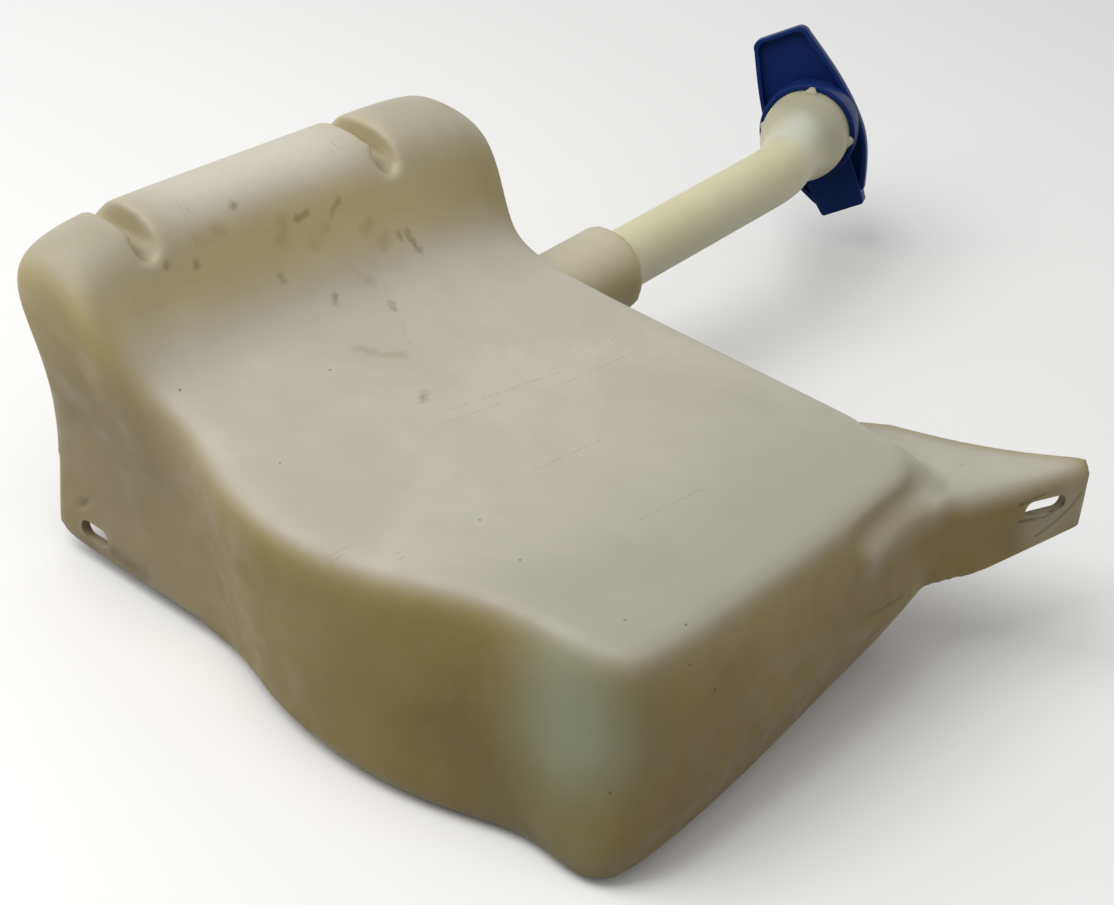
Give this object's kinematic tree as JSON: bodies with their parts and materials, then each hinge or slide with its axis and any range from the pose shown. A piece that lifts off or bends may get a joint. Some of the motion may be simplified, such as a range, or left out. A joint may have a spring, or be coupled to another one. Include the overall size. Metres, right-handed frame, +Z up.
{
  "type": "washer fluid reservoir",
  "caption": "Blow-moulded washer fluid tank with a raised notched ridge, slotted fixing ear and flange, plug-in filler neck and hinged blue cap.",
  "frame": {"origin": "point on the flat resting face of the tank, below the middle of its broad top face", "axes": "+X towards the tall front wall with the fixing ear, +Y along the filler neck away from the tank, +Z up"},
  "size_m": [0.3458, 0.5283, 0.1537],
  "materials": {
    "natural_plastic": "satin, slightly translucent natural polyethylene",
    "blue_plastic": "satin",
    "black_rubber": "matt"
  },
  "bodies": {
    "reservoir": {"tank": "natural_plastic", "filler_neck": "natural_plastic", "neck_seal": "black_rubber", "pump_grommet": "black_rubber", "cap_ring": "blue_plastic"},
    "lid": {"cap_lid": "blue_plastic"}
  },
  "joints": [
    {"name": "lid_hinge", "type": "hinge", "parent": "reservoir", "child": "lid", "pos_m": [-0.09209, 0.39286, 0.03117], "axis": [-0.7659, -0.4007, -0.5029], "range_deg": [0, 110]}
  ]
}
